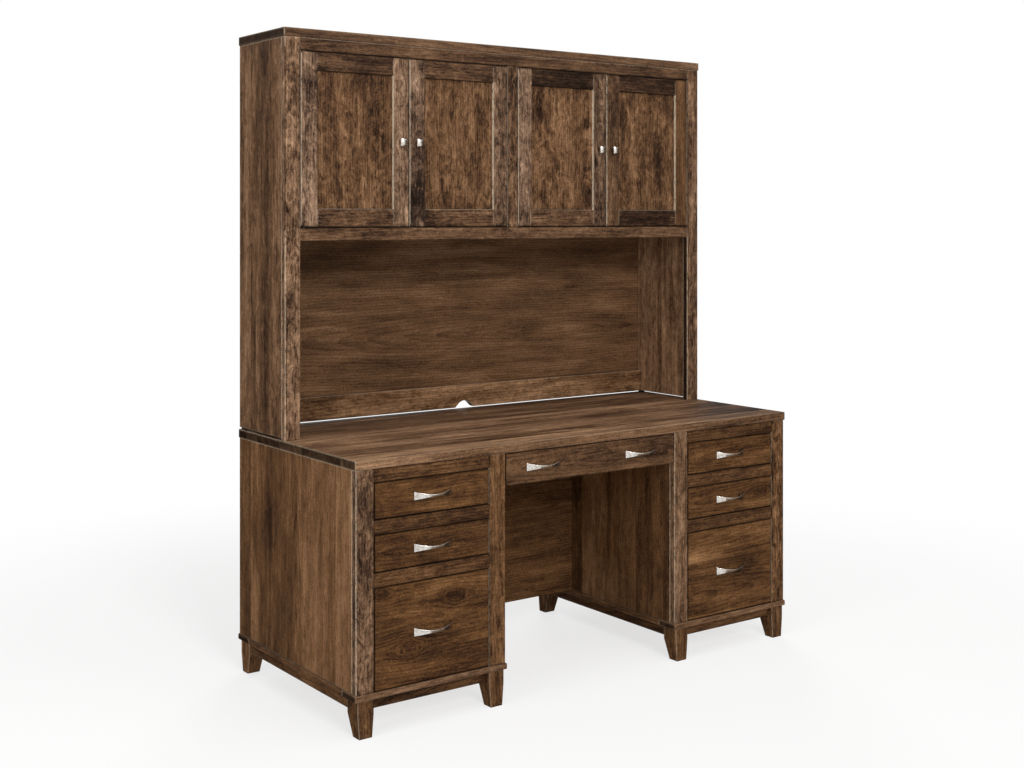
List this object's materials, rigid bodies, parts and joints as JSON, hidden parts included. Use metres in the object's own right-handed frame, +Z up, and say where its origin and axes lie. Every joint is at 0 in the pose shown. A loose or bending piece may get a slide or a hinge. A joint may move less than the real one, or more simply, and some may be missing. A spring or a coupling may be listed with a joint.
{
  "type": "desk with hutch",
  "caption": "Double-pedestal wooden desk with inset drawers, a centre drawer and a kneehole, carrying a hutch of framed cupboard doors over an open bay.",
  "frame": {"origin": "on the floor under the middle of the whole box, pulls included", "axes": "+X to the right along the front, +Y to the back, +Z up"},
  "size_m": [1.678, 0.758, 1.99],
  "materials": {
    "stained_maple": "brown stain under satin lacquer",
    "clear_maple": "clear satin lacquer",
    "satin_nickel": "satin nickel plate",
    "hinge_steel": "plain steel",
    "pad_rubber": "matt"
  },
  "bodies": {
    "case": {"desk_top": "stained_maple", "left_pedestal_sides": "stained_maple", "right_pedestal_sides": "stained_maple", "left_face_frame": "stained_maple", "right_face_frame": "stained_maple", "pedestal_backs": "stained_maple", "modesty_panel": "stained_maple", "base_frames": "stained_maple", "base_aprons": "stained_maple", "legs": "stained_maple", "drawer_runners": "clear_maple", "hutch_top": "stained_maple", "hutch_left_side": "stained_maple", "hutch_right_side": "stained_maple", "hutch_back": "stained_maple", "hutch_back_rail": "stained_maple", "hutch_face_frame": "stained_maple", "hutch_deck": "stained_maple", "hutch_divider": "stained_maple", "hutch_shelves": "stained_maple", "shelf_pins": "hinge_steel", "hinge_frame_leaves": "hinge_steel", "hutch_pads": "pad_rubber"},
    "left_top_drawer": {"left_top_drawer_front": "stained_maple", "left_top_drawer_box": "clear_maple", "left_top_drawer_pull": "satin_nickel"},
    "left_middle_drawer": {"left_middle_drawer_front": "stained_maple", "left_middle_drawer_box": "clear_maple", "left_middle_drawer_pull": "satin_nickel"},
    "left_file_drawer": {"left_file_drawer_front": "stained_maple", "left_file_drawer_box": "clear_maple", "left_file_drawer_pull": "satin_nickel"},
    "right_top_drawer": {"right_top_drawer_front": "stained_maple", "right_top_drawer_box": "clear_maple", "right_top_drawer_pull": "satin_nickel"},
    "right_middle_drawer": {"right_middle_drawer_front": "stained_maple", "right_middle_drawer_box": "clear_maple", "right_middle_drawer_pull": "satin_nickel"},
    "right_file_drawer": {"right_file_drawer_front": "stained_maple", "right_file_drawer_box": "clear_maple", "right_file_drawer_pull": "satin_nickel"},
    "centre_drawer": {"centre_drawer_front": "stained_maple", "centre_drawer_box": "clear_maple", "centre_drawer_pulls": "satin_nickel"},
    "left_outer_door": {"left_outer_door_frame": "stained_maple", "left_outer_door_panel": "stained_maple", "left_outer_door_knob": "satin_nickel", "left_outer_door_hinge_leaves": "hinge_steel"},
    "left_inner_door": {"left_inner_door_frame": "stained_maple", "left_inner_door_panel": "stained_maple", "left_inner_door_knob": "satin_nickel", "left_inner_door_hinge_leaves": "hinge_steel"},
    "right_inner_door": {"right_inner_door_frame": "stained_maple", "right_inner_door_panel": "stained_maple", "right_inner_door_knob": "satin_nickel", "right_inner_door_hinge_leaves": "hinge_steel"},
    "right_outer_door": {"right_outer_door_frame": "stained_maple", "right_outer_door_panel": "stained_maple", "right_outer_door_knob": "satin_nickel", "right_outer_door_hinge_leaves": "hinge_steel"}
  },
  "joints": [
    {"name": "left_top_drawer_slide", "type": "slide", "parent": "case", "child": "left_top_drawer", "axis": [0, -1, 0], "range_m": [0, 0.42]},
    {"name": "left_middle_drawer_slide", "type": "slide", "parent": "case", "child": "left_middle_drawer", "axis": [0, -1, 0], "range_m": [0, 0.42]},
    {"name": "left_file_drawer_slide", "type": "slide", "parent": "case", "child": "left_file_drawer", "axis": [0, -1, 0], "range_m": [0, 0.42]},
    {"name": "right_top_drawer_slide", "type": "slide", "parent": "case", "child": "right_top_drawer", "axis": [0, -1, 0], "range_m": [0, 0.42]},
    {"name": "right_middle_drawer_slide", "type": "slide", "parent": "case", "child": "right_middle_drawer", "axis": [0, -1, 0], "range_m": [0, 0.42]},
    {"name": "right_file_drawer_slide", "type": "slide", "parent": "case", "child": "right_file_drawer", "axis": [0, -1, 0], "range_m": [0, 0.42]},
    {"name": "centre_drawer_slide", "type": "slide", "parent": "case", "child": "centre_drawer", "axis": [0, -1, 0], "range_m": [0, 0.32]},
    {"name": "left_outer_door_hinge", "type": "hinge", "parent": "case", "child": "left_outer_door", "pos_m": [-0.769, 0.075, 1.6595], "axis": [0, 0, -1], "range_deg": [0, 90]},
    {"name": "left_inner_door_hinge", "type": "hinge", "parent": "case", "child": "left_inner_door", "pos_m": [-0.0345, 0.075, 1.6595], "axis": [0, 0, 1], "range_deg": [0, 90]},
    {"name": "right_inner_door_hinge", "type": "hinge", "parent": "case", "child": "right_inner_door", "pos_m": [0.0345, 0.075, 1.6595], "axis": [0, 0, -1], "range_deg": [0, 90]},
    {"name": "right_outer_door_hinge", "type": "hinge", "parent": "case", "child": "right_outer_door", "pos_m": [0.769, 0.075, 1.6595], "axis": [0, 0, 1], "range_deg": [0, 90]}
  ]
}
